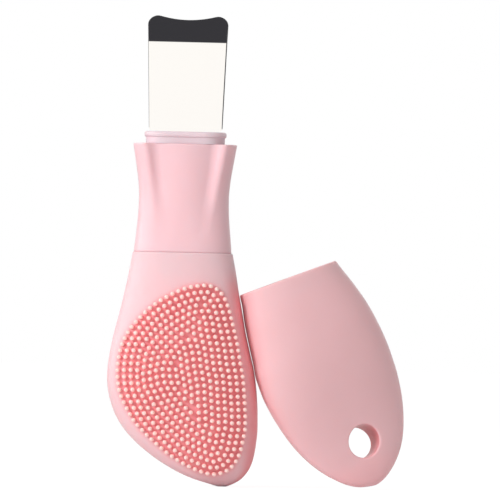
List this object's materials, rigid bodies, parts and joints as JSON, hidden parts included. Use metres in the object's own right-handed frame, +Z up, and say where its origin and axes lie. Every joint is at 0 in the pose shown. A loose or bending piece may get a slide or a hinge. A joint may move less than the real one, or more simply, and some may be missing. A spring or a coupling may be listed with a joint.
{
  "type": "skin scrubber",
  "caption": "Two-in-one facial skin scrubber: polished folded spatula blade, waisted handle, silicone bristle brush head and a travel cap with a hanging hole.",
  "frame": {"origin": "on the handle's long axis, level with the lowest point of the brush head", "axes": "+Z runs up the device from the brush tip to the spatula edge, -Y is the bristled front, +Y is the back with the two keys, +X is the side where the cap stands at rest"},
  "size_m": [0.1043, 0.0357, 0.1641],
  "materials": {
    "silicone": "satin moulded silicone",
    "pink_plastic": "satin gloss moulded ABS",
    "cap_plastic": "satin gloss moulded ABS",
    "steel_dark": "machined steel",
    "collar_plastic": "gloss",
    "clear_silicone": "matt silicone",
    "blade_steel": "mirror polished",
    "aluminium": "machined",
    "ceramic": "sintered ceramic",
    "pcb": "solder mask",
    "component": "moulded epoxy",
    "button_plastic": "satin",
    "led": "diffuse",
    "light_pipe": "clear",
    "gold_contact": "gold plated",
    "battery_wrap": "heat-shrink sleeve",
    "inner_plastic": "moulded",
    "copper": "wound copper",
    "brass": "sintered",
    "black_rubber": "moulded rubber",
    "wire_sleeve": "PVC"
  },
  "bodies": {
    "device": {"brush_skin": "silicone", "bristles": "silicone", "front_case": "pink_plastic", "back_case": "pink_plastic", "case_screws": "steel_dark", "collar": "collar_plastic", "collar_seal": "clear_silicone", "blade": "blade_steel", "blade_grommet": "clear_silicone", "horn_block": "aluminium", "blade_clamp": "aluminium", "clamp_screws": "steel_dark", "piezo_rings": "ceramic", "tail_mass": "steel_dark", "stack_bolt": "steel_dark", "main_pcb": "pcb", "pcb_components": "component", "power_switch": "component", "mode_switch": "component", "indicator_leds": "led", "light_pipes": "light_pipe", "charge_pins": "gold_contact", "battery": "battery_wrap", "battery_cradle": "inner_plastic", "motor_can": "steel_dark", "motor_boot": "black_rubber", "wiring": "wire_sleeve"},
    "cap": {"cap_shell": "cap_plastic", "cap_liner": "clear_silicone"},
    "power_key": {"power_button": "button_plastic"},
    "mode_key": {"mode_button": "button_plastic"},
    "motor_rotor": {"motor_shaft": "steel_dark", "motor_armature": "copper", "eccentric_weight": "brass"}
  },
  "joints": [
    {"name": "cap_swing", "type": "hinge", "parent": "device", "child": "cap", "pos_m": [0.00987, 0.00006, 0.11748], "axis": [0.1736, -0.9843, 0.0326], "range_deg": [0, 159.03]},
    {"name": "power_press", "type": "slide", "parent": "device", "child": "power_key", "axis": [0, -1, 0], "range_m": [0, 0.0004]},
    {"name": "mode_press", "type": "slide", "parent": "device", "child": "mode_key", "axis": [0, -1, 0], "range_m": [0, 0.0004]},
    {"name": "motor_spin", "type": "hinge", "parent": "device", "child": "motor_rotor", "pos_m": [0.0005, 0, 0.0185], "axis": [1, 0, 0], "continuous": true}
  ]
}
